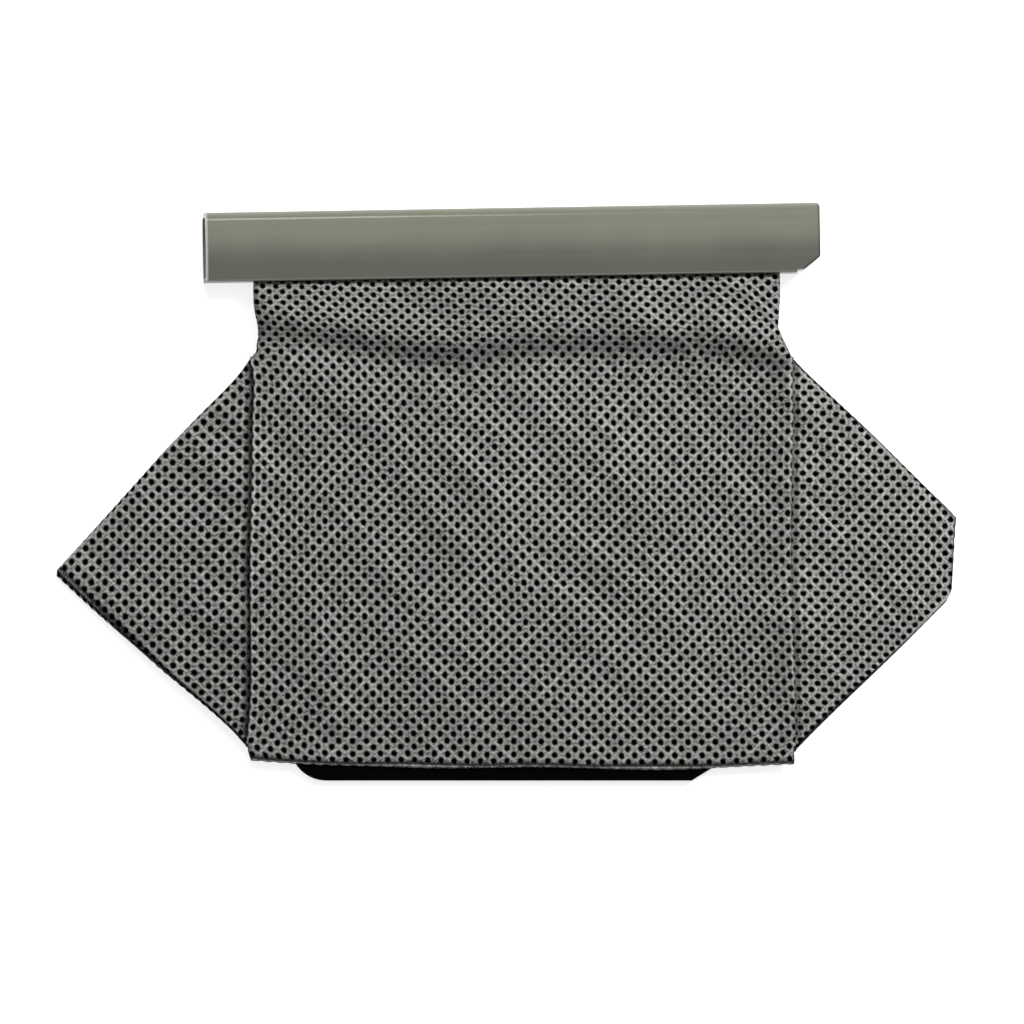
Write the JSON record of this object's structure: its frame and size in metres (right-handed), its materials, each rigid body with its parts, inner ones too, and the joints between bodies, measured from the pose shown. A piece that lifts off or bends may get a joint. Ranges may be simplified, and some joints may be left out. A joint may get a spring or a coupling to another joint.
{
  "type": "vacuum filter bag",
  "caption": "Reusable cloth dust bag with gusset wings, a stiff keyed collar with a rubber-lipped round inlet, and a channel clip that slides off sideways to open the mouth.",
  "frame": {"origin": "middle of the inlet, in the plane of the collar's outer face, which is the surface that the bag lies on", "axes": "+X along the mouth and its clip, +Y from the bottom seam to the mouth, +Z from the collar to the front panel"},
  "size_m": [0.2348, 0.1504, 0.0134],
  "materials": {
    "cloth": "grey polypropylene nonwoven with dark embossed dots",
    "strip": "natural extruded plastic",
    "clip": "grey-olive extruded plastic, semi-gloss",
    "collar": "black moulded plastic, fine matt grain",
    "seal": "black moulded rubber"
  },
  "bodies": {
    "bag": {"bag_cloth": "cloth", "front_mouth_strip": "strip", "rear_mouth_strip": "strip", "collar_plate": "collar", "inlet_seal": "seal", "clamp_ring": "collar"},
    "clip": {"slide_clip": "clip"}
  },
  "joints": [
    {"name": "clip_slide", "type": "slide", "parent": "bag", "child": "clip", "axis": [-0.9999, -0.0166, 0], "range_m": [0, 0.15]}
  ]
}
